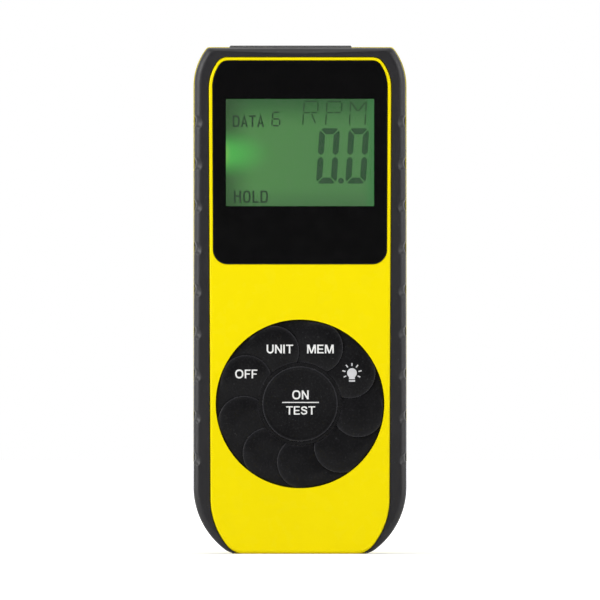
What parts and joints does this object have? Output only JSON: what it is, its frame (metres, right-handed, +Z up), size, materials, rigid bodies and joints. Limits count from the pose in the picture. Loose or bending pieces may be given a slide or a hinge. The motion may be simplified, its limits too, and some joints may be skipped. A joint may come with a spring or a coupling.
{
  "type": "laser tachometer",
  "caption": "Handheld optical speed meter with a lit display, a round keypad of petal keys and a rubber grip band, standing on its flat end.",
  "frame": {"origin": "middle of the box at the level of the flat lower end, on which it stands", "axes": "+Z up along the case to the optical window, -Y out of the display and keys, +X to the right of the display"},
  "size_m": [0.06, 0.0336, 0.1428],
  "materials": {
    "case_yellow": "satin moulded plastic",
    "grip_rubber": "soft matt overmoulding",
    "key_rubber": "matt silicone",
    "window_black": "gloss, printed behind",
    "display_glass": "clear glass over liquid crystal",
    "frame_white": "matt",
    "guide_clear": "clear acrylic",
    "film_white": "white film",
    "led_green": "clear resin",
    "strip_rubber": "layered silicone",
    "carbon": "carbon-filled",
    "board_green": "solder mask over glass cloth",
    "chip_black": "moulded epoxy",
    "can_metal": "drawn can",
    "capacitor_sleeve": "shrunk sleeve",
    "screw_steel": "zinc plated",
    "holder_black": "matt",
    "brass": "turned",
    "lens_clear": "polished",
    "beam_window_dark": "smoked acrylic",
    "cell_sleeve": "plain printed sleeve",
    "contact_nickel": "nickel plated"
  },
  "bodies": {
    "case": {"front_case": "case_yellow", "rear_case": "case_yellow", "grip_band": "grip_rubber", "display_window": "window_black", "lcd_glass": "display_glass", "lcd_frame": "frame_white", "light_guide": "guide_clear", "reflector_film": "film_white", "backlight_led": "led_green", "connector_strip": "strip_rubber", "keypad": "key_rubber", "main_board": "board_green", "processor": "chip_black", "crystal": "can_metal", "capacitor": "capacitor_sleeve", "board_screws": "screw_steel", "optics_holder": "holder_black", "laser_barrel": "brass", "laser_diode": "can_metal", "laser_lens": "lens_clear", "light_detector": "chip_black", "receiver_lens": "lens_clear", "beam_window": "beam_window_dark", "battery_1": "cell_sleeve", "battery_2": "cell_sleeve", "battery_3": "cell_sleeve", "negative_contact": "contact_nickel", "positive_contact": "contact_nickel", "upper_link": "contact_nickel", "lower_link": "contact_nickel", "case_screws": "screw_steel"},
    "on_test_button": {"on_test_key": "key_rubber", "on_test_pill": "carbon"},
    "off_button": {"off_key": "key_rubber", "off_pill": "carbon"},
    "unit_button": {"unit_key": "key_rubber", "unit_pill": "carbon"},
    "memory_button": {"memory_key": "key_rubber", "memory_pill": "carbon"},
    "light_button": {"light_key": "key_rubber", "light_pill": "carbon"},
    "battery_cover": {"battery_door": "case_yellow"}
  },
  "joints": [
    {"name": "on_test_press", "type": "slide", "parent": "case", "child": "on_test_button", "axis": [0, 1, 0], "range_m": [0, 0.0009], "stiffness_N_per_m": 1200},
    {"name": "off_press", "type": "slide", "parent": "case", "child": "off_button", "axis": [0, 1, 0], "range_m": [0, 0.0009], "stiffness_N_per_m": 1200},
    {"name": "unit_press", "type": "slide", "parent": "case", "child": "unit_button", "axis": [0, 1, 0], "range_m": [0, 0.0009], "stiffness_N_per_m": 1200},
    {"name": "memory_press", "type": "slide", "parent": "case", "child": "memory_button", "axis": [0, 1, 0], "range_m": [0, 0.0009], "stiffness_N_per_m": 1200},
    {"name": "light_press", "type": "slide", "parent": "case", "child": "light_button", "axis": [0, 1, 0], "range_m": [0, 0.0009], "stiffness_N_per_m": 1200},
    {"name": "battery_door_slide", "type": "slide", "parent": "case", "child": "battery_cover", "axis": [0, 0, -1], "range_m": [0, 0.062]}
  ]
}
